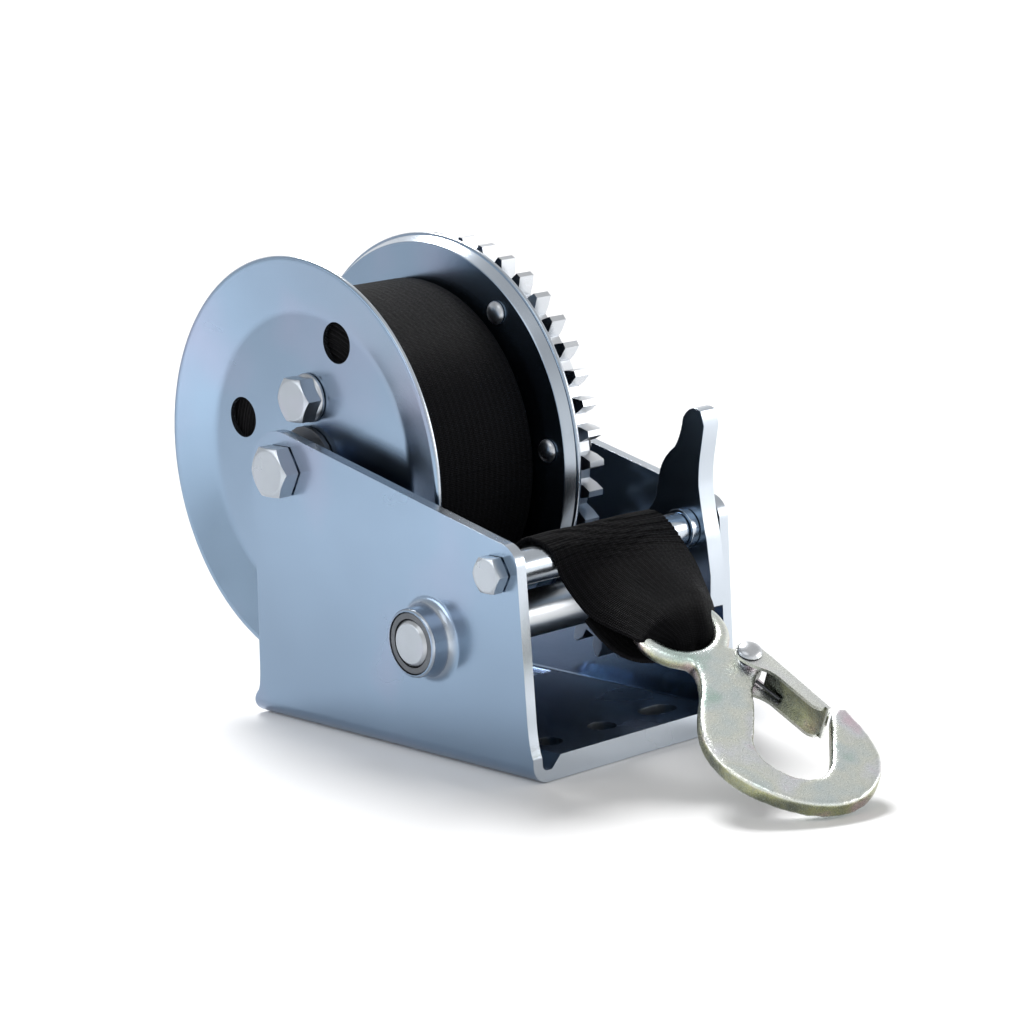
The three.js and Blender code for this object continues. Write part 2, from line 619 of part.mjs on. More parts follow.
// ---- hook and latch -----------------------------------------------------------------------
// In the hook's own frame X runs across the hook, Y from the eye to the bow, Z out of its face.
function hookOutline() {
  const back = [
    [20, -6.6], [29.4, -9], [38, -13.5], [46.6, -17], [54.7, -18.3], [63.7, -17.2], [71.3, -13.8],
    [78, -8.3], [83.4, -2], [87, 5.2], [88.6, 13.4], [87.3, 20.8], [83.3, 27.4], [77.4, 32.4],
    [70.4, 35.3], [62, 35.8], [54.3, 34.6], [49.5, 33.8]];
  const throat = [
    [57.9, 24], [65.3, 20.6], [72.4, 16.5], [75.8, 12], [75.5, 7.3], [73.1, 2.8], [68.5, -1],
    [62.4, -3.2], [56.8, -2.7], [51.3, 0], [40.5, 4.9], [33.8, 7.4], [29, 10.5]];
  const asPoint = ([s, t]) => new THREE.Vector2(t, s);
  const shape = new THREE.Shape();
  shape.moveTo(-8.5, 12.5);
  shape.splineThru(back.map(asPoint));
  shape.quadraticCurveTo(32.6, 47.2, 31.5, 47.6);
  shape.quadraticCurveTo(28, 48.4, 27.2, 50.9);
  shape.splineThru(throat.map(asPoint));
  shape.absarc(HOOK_PIN[1], HOOK_PIN[0], 5.5, 70 * DEG, -60 * DEG, true);
  shape.lineTo(7.5, 13);
  shape.closePath();
  return shape;
}

function hookBody() {
  const geometry = new THREE.ExtrudeGeometry(cornersOf(hookOutline(), 3, 1.2), {
    depth: HOOK_THICK, bevelEnabled: false });
  geometry.translate(0, 0, -HOOK_THICK / 2);
  const eye = new THREE.TorusGeometry(EYE_R, EYE_BAR_R, 10, 32);
  eye.translate(EYE_CENTRE[1], EYE_CENTRE[0], 0);
  const pinHole = solid(new THREE.CylinderGeometry(2.3, 2.3, 30, 20))
    .rotate([90, 0, 0]).translate([HOOK_PIN[1], HOOK_PIN[0], 0]);
  return cut(solid(geometry).add(solid(eye)), [pinHole]);
}

const LATCH_REACH = 33.5;
const LATCH_ANGLE = 18;                // degrees from the hook's length towards its point
const LATCH_SHEET = 1.2;
const LATCH_HALF = 6.4;

// In the latch's own frame Y runs from the pin to the free end, X outwards, Z along the pin.
function latchBody() {
  const side = new THREE.Shape();
  side.absarc(0, 0, 4.6, 0, Math.PI, true);
  side.quadraticCurveTo(-4.2, 4.5, -1.4, 8.5);
  side.quadraticCurveTo(0.3, 11, 0.3, 15);
  side.lineTo(0.6, LATCH_REACH - 5);
  side.quadraticCurveTo(1, LATCH_REACH - 2, 2.6, LATCH_REACH - 1.4);
  side.lineTo(4.9, LATCH_REACH - 1.4);
  side.lineTo(4.9, 6);
  side.closePath();
  const options = { depth: LATCH_SHEET, bevelEnabled: false, curveSegments: 8 };
  const walls = [-LATCH_HALF, LATCH_HALF - LATCH_SHEET].map((z) =>
    solid(new THREE.ExtrudeGeometry(side, options)).translate([0, 0, z]));
  const web = solid(new THREE.BoxGeometry(LATCH_SHEET, LATCH_REACH - 6, 2 * LATCH_HALF))
    .translate([4.9 - LATCH_SHEET / 2, (LATCH_REACH + 6) / 2, 0]);
  const pinHole = solid(new THREE.CylinderGeometry(2.3, 2.3, 30, 20)).rotate([90, 0, 0]);
  return cut(join([...walls, web]), [pinHole]);
}

function latchRivet() {
  const half = LATCH_HALF + GAP;
  const profile = [
    [0, -half - 2], [2.6, -half - 1.6], [4.2, -half], [2, -half], [2, half], [4.2, half],
    [3.9, half + 1.1], [2.6, half + 1.8], [0, half + 2.1]];
  const points = profile.map(([r, y]) => new THREE.Vector2(r, y));
  return solid(new THREE.LatheGeometry(points, 24)).rotate([90, 0, 0]);
}

function latchSpring() {
  const coil = solid(new THREE.TorusGeometry(3.3, 0.6, 6, 16));
  const leg = solid(new THREE.CylinderGeometry(0.55, 0.55, 12, 8))
    .rotate([0, 0, -5]).translate([2.6, 8.4, 0]);
  return coil.add(leg).translate([0, 0, 4.15]);
}

function hookPose() {
  const pose = new THREE.Group();
  const across = new THREE.Vector3(Math.cos(HOOK_YAW * DEG), Math.sin(HOOK_YAW * DEG), 0);
  const level = new THREE.Vector3(across.y, -across.x, 0);
  const along = level.multiplyScalar(Math.cos(HOOK_DIP * DEG));
  along.z = -Math.sin(HOOK_DIP * DEG);
  const facing = new THREE.Vector3().crossVectors(across, along).normalize();
  pose.quaternion.setFromRotationMatrix(new THREE.Matrix4().makeBasis(across, along, facing));
  pose.position.set(...HOOK_ORIGIN);
  return pose;
}

function addHook() {
  const pose = hookPose();
  add(pose, 'hook', hookBody(), YELLOW_ZINC);
  const pinned = new THREE.Group();
  pinned.position.set(HOOK_PIN[1], HOOK_PIN[0], 0);
  add(pinned, 'latch_rivet', latchRivet(), BOLT_ZINC);
  const latch = new THREE.Group();
  latch.rotation.z = -LATCH_ANGLE * DEG;
  add(latch, 'latch', latchBody(), YELLOW_ZINC);
  add(latch, 'latch_spring', latchSpring(), DARK_STEEL);
  pinned.add(latch);
  pose.add(pinned);
  model.add(pose);
}

// ---- strap tail ---------------------------------------------------------------------------
// The free end of the strap: from under the roll, over the tie tube and down to the hook's eye.
const TAIL_THICK = 1.8;
const LOOP_HALF = 7.5;
const TAIL_PATH = [
  [-24, 35.2], [-50, 48.2], [-80, 63], [-97, 71.6], [-103, 74.6], [-108.5, 76], [-113.3, 74.6],
  [-116.8, 70.8], [-120.5, 65.4], [-125.5, 60], [-130.8, 56.6]];

function tailWidth(y) {
  return THREE.MathUtils.lerp(WEBBING - 1, 25, THREE.MathUtils.smoothstep(-y, 114, 132));
}

// The gathered webbing bulges below the tail's path.
function tailBulk(y) {
  return THREE.MathUtils.lerp(TAIL_THICK / 2, 4.6, THREE.MathUtils.smoothstep(-y, 113, 126));
}

function tailCentre(y) {
  const middle = (ROLL_X[0] + ROLL_X[1]) / 2;
  return THREE.MathUtils.lerp(middle, 7, THREE.MathUtils.smoothstep(-y, 70, 108));
}

function tailRibbon() {
  const centre = TAIL_PATH.map(([y, z]) => new THREE.Vector2(y, z));
  const curve = new THREE.SplineCurve(centre);
  const count = 26;
  const upper = [];
  const lower = [];
  for (let i = 0; i <= count; i += 1) {
    const at = curve.getPoint(i / count);
    const along = curve.getTangent(i / count);
    const normal = new THREE.Vector2(along.y, -along.x);
    const bulk = tailBulk(at.x);
    upper.push([at.x + normal.x * TAIL_THICK / 2, at.y + normal.y * TAIL_THICK / 2]);
    lower.push([at.x - normal.x * bulk, at.y - normal.y * bulk]);
  }
  const geometry = new THREE.ExtrudeGeometry(polygon([...upper, ...lower.reverse()]), {
    depth: 1, bevelEnabled: false, steps: 1 });
  geometry.applyMatrix4(YZ_TO_X);
  const position = geometry.attributes.position;
  for (let i = 0; i < position.count; i += 1) {
    const y = position.getY(i);
    position.setX(i, tailCentre(y) + (position.getX(i) - 0.5) * tailWidth(y));
  }
  return solid(geometry);
}

// The loop is sewn round the eye's bar, with room for the bar to swing in it.
function tailLoop() {
  const room = 6.2;
  const loop = tube(room, room + 2, -LOOP_HALF, LOOP_HALF, 0, 0, 28);
  const pose = hookPose();
  const centre = new THREE.Vector3(EYE_CENTRE[1], EYE_CENTRE[0] - SWING_OFFSET, 0)
    .applyQuaternion(pose.quaternion).add(pose.position);
  return loop.rotate([0, 0, HOOK_YAW]).translate([centre.x, centre.y, centre.z]);
}

add(model, 'frame', frame(), ZINC);
addFixedHardware(model);
addDrum();
addDrive();
addPawl();
addHook();
add(model, 'strap_tail', tailRibbon().add(tailLoop()), WEB_BLACK);

export default model;
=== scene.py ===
import json
import math

import bmesh
import bpy
from mathutils import Matrix, Vector


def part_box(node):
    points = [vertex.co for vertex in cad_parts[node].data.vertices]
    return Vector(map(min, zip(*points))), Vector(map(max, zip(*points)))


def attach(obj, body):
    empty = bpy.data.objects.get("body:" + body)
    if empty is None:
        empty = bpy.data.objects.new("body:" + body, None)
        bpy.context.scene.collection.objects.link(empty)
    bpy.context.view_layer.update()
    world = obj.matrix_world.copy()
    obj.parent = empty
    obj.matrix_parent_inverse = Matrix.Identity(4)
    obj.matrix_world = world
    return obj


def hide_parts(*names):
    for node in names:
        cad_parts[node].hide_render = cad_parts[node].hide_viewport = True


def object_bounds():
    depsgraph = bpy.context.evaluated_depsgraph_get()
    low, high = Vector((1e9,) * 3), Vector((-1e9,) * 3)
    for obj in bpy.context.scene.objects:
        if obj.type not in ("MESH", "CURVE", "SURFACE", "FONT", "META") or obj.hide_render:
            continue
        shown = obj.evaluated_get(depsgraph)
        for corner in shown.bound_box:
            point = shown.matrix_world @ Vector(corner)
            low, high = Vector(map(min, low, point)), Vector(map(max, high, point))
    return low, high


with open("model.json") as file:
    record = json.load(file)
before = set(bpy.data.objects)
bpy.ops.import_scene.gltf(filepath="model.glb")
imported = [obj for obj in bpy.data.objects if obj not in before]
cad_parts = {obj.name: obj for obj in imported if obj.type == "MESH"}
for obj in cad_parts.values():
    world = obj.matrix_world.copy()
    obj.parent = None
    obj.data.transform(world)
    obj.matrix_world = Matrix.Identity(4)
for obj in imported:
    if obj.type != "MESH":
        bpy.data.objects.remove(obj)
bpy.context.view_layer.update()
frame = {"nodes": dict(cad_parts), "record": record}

MM = 0.001
RECORD = frame["record"]
BODY = {node: body for body, nodes in RECORD["behaviour"]["bodies"].items() for node in nodes}
SLOT = {part["node"]: part["material_slot"] for part in RECORD["subparts"]}
JOINT = {joint["name"]: joint for joint in RECORD["behaviour"]["joints"]}
LATCH_AXIS = Vector(JOINT["latch_hinge"]["axis"]).normalized()


# ---- camera -------------------------------------------------------------------------------
CAMERA_PLACE = (-0.7454, -0.9153, 0.3080)
CAMERA_AIM = (0.0333, -0.0347, 0.0671)
CAMERA_ROLL = 2.75                      # degrees


def make_camera():
    data = bpy.data.cameras.new("camera")
    data.sensor_width = 36
    data.lens = 119.5
    eye = bpy.data.objects.new("camera", data)
    bpy.context.scene.collection.objects.link(eye)
    ahead = Vector(CAMERA_AIM) - Vector(CAMERA_PLACE)
    turn = ahead.to_track_quat("-Z", "Y").to_matrix().to_4x4()
    roll = Matrix.Rotation(math.radians(-CAMERA_ROLL), 4, "Z")
    eye.matrix_world = Matrix.Translation(CAMERA_PLACE) @ turn @ roll
    bpy.context.scene.camera = eye


make_camera()


# ---- materials ----------------------------------------------------------------------------
class Finish:
    """A material made of nodes, around one principled shader."""

    def __init__(self, name, **settings):
        self.material = bpy.data.materials.new(name)
        self.material.use_nodes = True
        self.tree = self.material.node_tree
        self.shader = self.tree.nodes["Principled BSDF"]
        for socket, value in settings.items():
            self.shader.inputs[socket.replace("_", " ")].default_value = value
        self.place = self.add("TexCoord").outputs["Object"]

    def add(self, kind, inputs=None, **properties):
        node = self.tree.nodes.new("ShaderNode" + kind)
        for key, value in properties.items():
            setattr(node, key, value)
        for key, value in (inputs or {}).items():
            if isinstance(value, bpy.types.NodeSocket):
                self.tree.links.new(value, node.inputs[key])
            else:
                node.inputs[key].default_value = value
        return node

    def noise(self, scale, detail=2.0, stretch=None, roughness=0.5):
        place = self.place
        if stretch:
            place = self.add("Mapping", {"Vector": place, "Scale": stretch}).outputs[0]
        return self.add("TexNoise", {"Vector": place, "Scale": scale, "Detail": detail,
                                     "Roughness": roughness}).outputs["Fac"]

    def ramp(self, fac, stops):
        node = self.add("ValToRGB", {"Fac": fac})
        band = node.color_ramp
        while len(band.elements) < len(stops):
            band.elements.new(0.5)
        for element, (at, colour) in zip(band.elements, stops):
            element.position = at
            element.color = (*colour, 1)
        return node.outputs["Color"]

    def spread(self, fac, low, high, start=0.3, end=0.7):
        return self.add("MapRange", {"Value": fac, "From Min": start, "From Max": end,
                                     "To Min": low, "To Max": high}).outputs["Result"]

    def mix(self, fac, a, b, blend="MIX"):
        node = self.add("Mix", {"Factor": fac}, data_type="RGBA", blend_type=blend)
        for socket, value in (("A", a), ("B", b)):
            target = [s for s in node.inputs if s.name == socket and s.type == "RGBA"][0]
            if isinstance(value, bpy.types.NodeSocket):
                self.tree.links.new(value, target)
            else:
                target.default_value = (*value, 1)
        return [s for s in node.outputs if s.type == "RGBA"][0]

    def math(self, operation, a, b=0.0):
        return self.add("Math", {0: a, 1: b}, operation=operation).outputs[0]

    def bump(self, height, strength, distance, normal=None):
        inputs = {"Height": height, "Strength": strength, "Distance": distance}
        if normal is not None:
            inputs["Normal"] = normal
        return self.add("Bump", inputs).outputs["Normal"]

    def feed(self, **sockets):
        for name, value in sockets.items():
            self.tree.links.new(value, self.shader.inputs[name.replace("_", " ")])
        return self.material


def zinc(name, colour, tint, roughness, grain=(1, 1, 1), scale=16):
    """Clear-blue plated sheet: broad cloudy tints, long rolled streaks, a painted sheen that turns the
    colour paler lilac where the sheet is seen edge-on, and a painted highlight that makes cut edges paler.
    """
    made = Finish(name, Metallic=1.0)
    deep = tuple(c * 0.93 for c in colour)
    cloud = made.ramp(made.noise(scale, 2), [(0.32, deep), (0.52, colour), (0.75, tint)])
    # Painted sheen: the colour turns paler lilac where the surface is seen edge-on.
    facing = made.add("LayerWeight", {"Blend": 0.28}).outputs["Facing"]
    cloud = made.mix(made.math("MULTIPLY", facing, 0.55), cloud, tint)
    turned = made.add("SeparateXYZ", {"Vector": made.add("TexCoord").outputs["Normal"]}).outputs
    # Painted highlight: faces that turn away from the X axis are painted paler, as if they caught the
    # light. This applies where they stand above the base (12 to 16 mm up) or face front or back.
    height = made.add("SeparateXYZ", {"Vector": made.place}).outputs["Z"]
    highlight_above_base = made.spread(height, 0, 1, 0.012, 0.016)
    front = made.spread(made.math("ABSOLUTE", turned["Y"]), 0, 1, 0.5, 0.7)
    edge = made.spread(made.math("ABSOLUTE", turned["X"]), 1, 0, 0.35, 0.95)
    edge = made.math("MULTIPLY", edge, made.math("MAXIMUM", highlight_above_base, front))
    colour_out = made.mix(edge, cloud, tuple(0.42 + 0.58 * c for c in colour))
    patches = made.noise(30, 3)
    streaks = made.noise(70, 2, stretch=grain)
    rough = made.math("ADD", made.spread(patches, roughness - 0.03, roughness + 0.04),
                      made.spread(streaks, 0, 0.03))
    return made.feed(Base_Color=colour_out, Roughness=rough)


def yellow_zinc():
    """Rainbow passivated forging: green, straw and rose clouds over a shot-blasted grain, with its sides
    painted dark as painted shade.
    """
    made = Finish("yellow_zinc", Metallic=1.0)
    clouds = made.ramp(made.noise(34, 3, roughness=0.6), [
        (0.26, (0.42, 0.64, 0.54)), (0.40, (0.76, 0.83, 0.82)), (0.49, (0.86, 0.88, 0.80)),
        (0.57, (0.88, 0.90, 0.93)), (0.66, (0.88, 0.66, 0.76)), (0.80, (0.62, 0.70, 0.54))])
    facing = made.add("VectorMath", {0: made.add("TexCoord").outputs["Normal"], 1: LATCH_AXIS},
                      operation="DOT_PRODUCT").outputs["Value"]
    # Painted shade: faces that turn away from the latch's hinge axis are painted dark straw and rose, as if
    # they lay in shadow. These are the forging's edges and the latch's inner faces.
    rim = made.spread(made.math("ABSOLUTE", facing), 1, 0, 0.25, 0.75)
    side = made.ramp(made.noise(60, 3), [(0.38, (0.10, 0.11, 0.07)), (0.52, (0.34, 0.34, 0.15)),
                                         (0.66, (0.50, 0.36, 0.34))])
    clouds = made.mix(made.math("MULTIPLY", rim, 0.9), clouds, side)
    grain = made.noise(2100, 2, roughness=0.6)
    colour = made.mix(made.spread(grain, 0, 0.6, 0.42, 0.7), clouds, (0.24, 0.28, 0.265))
    edge = made.add("NewGeometry").outputs["Pointiness"]
    colour = made.mix(made.spread(edge, 0, 0.9, 0.515, 0.56), colour, (0.92, 0.94, 0.90))
    rough = made.spread(grain, 0.16, 0.36)
    normal = made.bump(grain, 0.3, 0.0003)
    return made.feed(Base_Color=colour, Roughness=rough, Normal=normal)


def machined(name, colour, roughness):
    """Turned or sawn steel with fine tool marks round it and dull patches."""
    made = Finish(name, Metallic=1.0)
    patches = made.noise(130, 4)
    lines = made.noise(90, 2, stretch=(26, 4, 4))
    shade = made.mix(made.spread(patches, 0, 0.5), colour, tuple(c * 0.7 for c in colour))
    rough = made.spread(patches, roughness - 0.06, roughness + 0.1)
    return made.feed(Base_Color=shade, Roughness=rough, Normal=made.bump(lines, 0.12, 0.0002))


def webbing(name, gloss, coarse=1.0):
    """Black polyester webbing: a fine diamond weave that follows the strap's own length, its hollows
    painted near black and its raised threads painted lighter as painted shade and highlight.
    """
    made = Finish(name, Roughness=0.62, Specular_IOR_Level=gloss)
    split = made.add("SeparateXYZ", {"Vector": made.add("UVMap").outputs["UV"]})
    along, across = split.outputs["X"], split.outputs["Y"]
    turn = 2 * math.pi / (1.15 * coarse)
    rise = made.math("ADD", made.math("MULTIPLY", along, turn), made.math("MULTIPLY", across, turn))
    fall = made.math("SUBTRACT", made.math("MULTIPLY", along, turn), made.math("MULTIPLY", across, turn))
    diamond = made.math("MULTIPLY", made.math("SINE", rise), made.math("SINE", fall))
    ribs = made.math("SINE", made.math("MULTIPLY", across, 2 * math.pi / (2.3 * coarse)))
    height = made.math("ADD", diamond, made.math("MULTIPLY", ribs, 0.35))
    fuzz = made.noise(1500, 2)
    worn = made.noise(70, 3)
    # Painted shade and highlight: the weave's hollows are painted near black and its raised threads
    # lighter.
    weave_painted_shade = made.spread(height, 0, 1, 0.1, 1.2)
    thread = made.mix(weave_painted_shade, (0.0010, 0.0010, 0.0013), (0.018, 0.018, 0.021))
    colour = made.mix(made.spread(worn, 0, 0.25), thread, (0.006, 0.006, 0.0075))
    normal = made.bump(height, 0.8, 0.0004)
    normal = made.bump(fuzz, 0.2, 0.0001, normal)
    return made.feed(Base_Color=colour, Normal=normal, Roughness=made.spread(fuzz, 0.5, 0.72))


def moulded(name):
    """Black moulded plastic with a fine spark-eroded grain."""
    made = Finish(name, Roughness=0.5)
    grain = made.noise(1400, 2)
    colour = made.mix(made.spread(made.noise(60, 3), 0, 1), (0.010, 0.010, 0.011), (0.018, 0.018, 0.020))
    return made.feed(Base_Color=colour, Roughness=made.spread(grain, 0.4, 0.58),
                     Normal=made.bump(grain, 0.18, 0.00015))


BLUE = (0.20, 0.285, 0.385)
LILAC = (0.27, 0.30, 0.41)
LOOKS = {
    "plate": zinc("zinc_plate", BLUE, LILAC, 0.22, grain=(1, 0.12, 1)),
    "fastener": zinc("fastener_zinc", (0.33, 0.365, 0.40), (0.36, 0.375, 0.44), 0.27, scale=60),
    "gear": zinc("gear_zinc", (0.42, 0.465, 0.52), (0.44, 0.45, 0.53), 0.27, scale=40),
    "hook": yellow_zinc(),
    "dark": machined("dark_steel", (0.10, 0.105, 0.115), 0.42),
    "bush": machined("sintered_bushing", (0.13, 0.14, 0.155), 0.5),
    "web": webbing("webbing", 0.05),
    "roll": webbing("webbing_roll", 0.09, 1.1),
    "grip": moulded("grip_plastic"),
}
SLOT_LOOK = {"zinc_plate": "plate", "fastener": "fastener", "yellow_zinc": "hook", "dark_steel": "dark",
             "bushing": "bush", "webbing": "web", "grip_plastic": "grip"}


# ---- mesh making --------------------------------------------------------------------------
def shade(mesh, angle=32):
    """Smooth faces, with edges sharper than angle kept sharp."""
    bm = bmesh.new()
    bm.from_mesh(mesh)
    for face in bm.faces:
        face.smooth = True
    for edge in bm.edges:
        edge.smooth = not (edge.is_manifold and edge.calc_face_angle(0) > math.radians(angle))
    bm.to_mesh(mesh)
    bm.free()


def place_piece(name, mesh, look, node, *others):
    """The mesh as a piece that rides on the CAD node's body and stands for it and the others."""
    piece = bpy.data.objects.new(name, mesh)
    bpy.context.scene.collection.objects.link(piece)
    piece.data.materials.clear()
    piece.data.materials.append(LOOKS[look])
    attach(piece, BODY[node])
    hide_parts(node, *others)
    return piece


def weigh_normals(piece):
    modifier = piece.modifiers.new("weighted", "WEIGHTED_NORMAL")
    modifier.keep_sharp = True
    modifier.weight = 80


def refined(node, bevel, look=None, steps=2, angle=30):
    """The CAD node's solid with its flat faces merged and its sharp edges rounded."""
    mesh = frame["nodes"][node].data.copy()
    bm = bmesh.new()
    bm.from_mesh(mesh)
    bmesh.ops.remove_doubles(bm, verts=bm.verts, dist=2e-6)
    bmesh.ops.dissolve_limit(bm, angle_limit=math.radians(0.6), verts=bm.verts, edges=bm.edges)
    sharp = [e for e in bm.edges if e.is_manifold and e.calc_face_angle(0) > math.radians(angle)]
    if bevel:
        bmesh.ops.bevel(bm, geom=sharp, offset=bevel * MM, segments=steps, profile=0.5,
                        affect="EDGES", clamp_overlap=True)
    bm.to_mesh(mesh)
    bm.free()
    shade(mesh, 30)
    piece = place_piece(node + "_finish", mesh, look or SLOT_LOOK[SLOT[node]], node)
    weigh_normals(piece)
    return piece


def soft(profile, radius=0.4, steps=3):
    """The outline with each inner corner rounded; the first and last points stay."""
    points = [Vector(p) for p in profile]
    out = [points[0]]
    for before, corner, after in zip(points, points[1:], points[2:]):
        back, ahead = before - corner, after - corner
        reach = min(radius, back.length * 0.45, ahead.length * 0.45)
        start, end = corner + back.normalized() * reach, corner + ahead.normalized() * reach
        for i in range(steps + 1):
            t = i / steps
            out.append(start * (1 - t) ** 2 + corner * 2 * t * (1 - t) + end * t ** 2)
    out.append(points[-1])
    return [tuple(p) for p in out]


class Shape:
    """Points in millimetres and faces, gathered into one mesh."""

    def __init__(self):
        self.points, self.faces, self.uvs = [], [], []

    def grid(self, rows, wrap_rows=False, wrap_columns=False, uv=None):
        first = len(self.points)
        tall, wide = len(rows), len(rows[0])
        for row in rows:
            self.points.extend(row)
        for i in range(tall if wrap_rows else tall - 1):
            for j in range(wide if wrap_columns else wide - 1):
                corners = ((i, j), (i, j + 1), (i + 1, j + 1), (i + 1, j))
                self.faces.append([first + (a % tall) * wide + b % wide for a, b in corners])
                self.uvs.append([uv(a, b) if uv else (0, 0) for a, b in corners])
        return self

    def lathe(self, profile, y=0, z=0, segments=96, closed=False):
        """A profile of (radius, x), turned round the X axis through (y, z)."""
        rows = []
        for r, x in profile:
            turns = [2 * math.pi * j / segments for j in range(segments)]
            rows.append([(x, y - r * math.cos(a), z + r * math.sin(a)) for a in turns])
        widest = max(r for r, _ in profile)
        run = [0.0]
        for (r0, x0), (r1, x1) in zip(profile, profile[1:]):
            run.append(run[-1] + math.hypot(r1 - r0, x1 - x0))
        run.append(run[-1])
        step = 2 * math.pi * widest / segments
        return self.grid(rows, wrap_rows=closed, wrap_columns=True,
                         uv=lambda a, b: (b * step, run[min(a, len(run) - 1)]))

    def hexagon(self, flats, face, height, side, y, z, turn=0.0):
        """A hexagon head that stands out from x = face towards side, its corners turned down."""
        half = flats / 2
        crown = half * 0.93
        top = face + side * height
        rows = [[], [], [], [], [], []]
        for j in range(120):
            angle = 2 * math.pi * j / 120
            sector = (angle + math.pi / 6) % (math.pi / 3) - math.pi / 6
            edge = half / math.cos(sector)
            drop = side * max(0.0, edge - crown) * 0.55
            ring = [(0, face), (edge, face), (edge, top - drop), (crown, top),
                    (crown * 0.93, top), (0, top - side * 0.25)]
            for row, (r, x) in zip(rows, ring):
                row.append((x, y - r * math.cos(angle + turn), z + r * math.sin(angle + turn)))
        return self.grid(rows, wrap_columns=True)

    def thread(self, r, x0, x1, pitch, y, z):
        """A screw thread from x0 to x1, closed at the x1 end by a small chamfer."""
        depth = pitch * 0.5
        count = max(2, int(abs(x1 - x0) / pitch * 8))
        rows = []
        for i in range(count + 1):
            x = x0 + (x1 - x0) * i / count
            row = []
            for j in range(48):
                angle = 2 * math.pi * j / 48
                wave = abs(((x / pitch - j / 48) % 1) * 2 - 1)
                near_end = min(1.0, abs(x1 - x) / pitch)
                reach = min(r - depth * wave, r - depth * (1 - near_end))
                row.append((x, y - reach * math.cos(angle), z + reach * math.sin(angle)))
            rows.append(row)
        rows.append([(x1, y, z)] * 48)
        return self.grid(rows, wrap_columns=True)

    def mesh(self, name, merge=0.002):
        made = bpy.data.meshes.new(name)
        made.from_pydata([Vector(p) * MM for p in self.points], [], self.faces)
        layer = made.uv_layers.new(name="strap")
        flat = [pair for face in self.uvs for pair in face]
        for loop, pair in zip(layer.data, flat):
            loop.uv = pair
        bm = bmesh.new()
        bm.from_mesh(made)
        bmesh.ops.remove_doubles(bm, verts=bm.verts, dist=merge * MM)
        bmesh.ops.dissolve_degenerate(bm, edges=bm.edges, dist=1e-7)
        bmesh.ops.recalc_face_normals(bm, faces=bm.faces)
        bm.to_mesh(made)
        bm.free()
        return made

    def piece(self, name, look, node, *others, angle=32):
        made = self.mesh(name)
        shade(made, angle)
        return place_piece(name, made, look, node, *others)


def settled(piece):
    """The piece with its modifiers applied."""
    graph = bpy.context.evaluated_depsgraph_get()
    final = bpy.data.meshes.new_from_object(piece.evaluated_get(graph))
    piece.modifiers.clear()
    piece.data = final
    return piece


def drilled(piece, holes):
    """Round holes through the piece along X: (radius, y, z) in millimetres."""
    low, high = (min(p[0] for p in piece.bound_box) / MM - 5, max(p[0] for p in piece.bound_box) / MM + 5)
    for r, y, z in holes:
        tool = bpy.data.objects.new("tool", Shape().lathe(
            [(0, low), (r, low), (r, high), (0, high)], y, z, 64).mesh("tool"))
        bpy.context.scene.collection.objects.link(tool)
        cut = piece.modifiers.new("hole", "BOOLEAN")
        cut.object = tool
        cut.solver = "EXACT"
        settled(piece)
        bpy.data.objects.remove(tool)
    return piece


# ---- places taken from the frame ----------------------------------------------------------
def centre_of(node):
    low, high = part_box(node)
    return (low + high) / 2 / MM


def reach_of(node):
    low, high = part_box(node)
    return low.x / MM, high.x / MM


AXLE = centre_of("drum_axle_bolt")
SHAFT = centre_of("pinion_gear")
SHAFT.y, SHAFT.z = centre_of("shaft_bushing_left").y, centre_of("shaft_bushing_left").z
GRIP = centre_of("crank_grip")
GEAR_X = reach_of("drum_gear")
GAP = 0.3
CORNER = math.pi / 6                   # turns a hexagon so that its corners lie along Y


# ---- frame --------------------------------------------------------------------------------
refined("frame", 1.1, steps=4)


# ---- drum ---------------------------------------------------------------------------------
SHEET = 2.0
FLANGE_IN = 26.0                       # half the space between the flanges
CORE_R = 12.05                         # the flanges' centre hole
ANCHOR_HOLE_R = 5.3
WINDOW_R = 7.25                        # the two round holes of the left flange
RIVET_HOLE_R = 2.3


def flange_profile(rim, flat, flare, side):
    """The sheet's middle line is flat, then sweeps outwards, and its edge is rolled round."""
    inner, outer = [], []
    for i in range(25):
        t = i / 24
        r = flat + (rim - 1 - flat) * t
        lift = flare * (t * t / 0.4 if t < 0.2 else t - 0.1) / 0.9
        inner.append((r, FLANGE_IN + lift))
        outer.append((r - 0.5 * t, FLANGE_IN + SHEET + lift * 0.98))
    tip_in, tip_out = inner[-1][1], outer[-1][1]
    middle = (tip_in + tip_out) / 2
    bead = [(rim - 1 + math.cos(a), middle + (tip_out - tip_in) / 2 * math.sin(a))
            for a in [math.radians(-75 + 25 * k) for k in range(7)]]
    half = [(CORE_R, FLANGE_IN), *inner, *bead, *reversed(outer), (CORE_R, FLANGE_IN + SHEET)]
    return [(r, side * x) for r, x in half]


RIVETS = [f"gear_rivet_{i}" for i in range(1, 7)]


def add_flange(side, node, rim, flat, flare, holes):
    body = Shape().lathe(flange_profile(rim, flat, flare, side), AXLE.y, AXLE.z, 192, closed=True)
    piece = body.piece(node + "_sheet", "plate", node, angle=40)
    drilled(piece, holes)
    shade(piece.data, 40)
    edge = piece.modifiers.new("edge", "BEVEL")
    edge.width = 0.35 * MM
    edge.segments = 2
    edge.limit_method = "ANGLE"
    edge.angle_limit = math.radians(60)
    weigh_normals(piece)


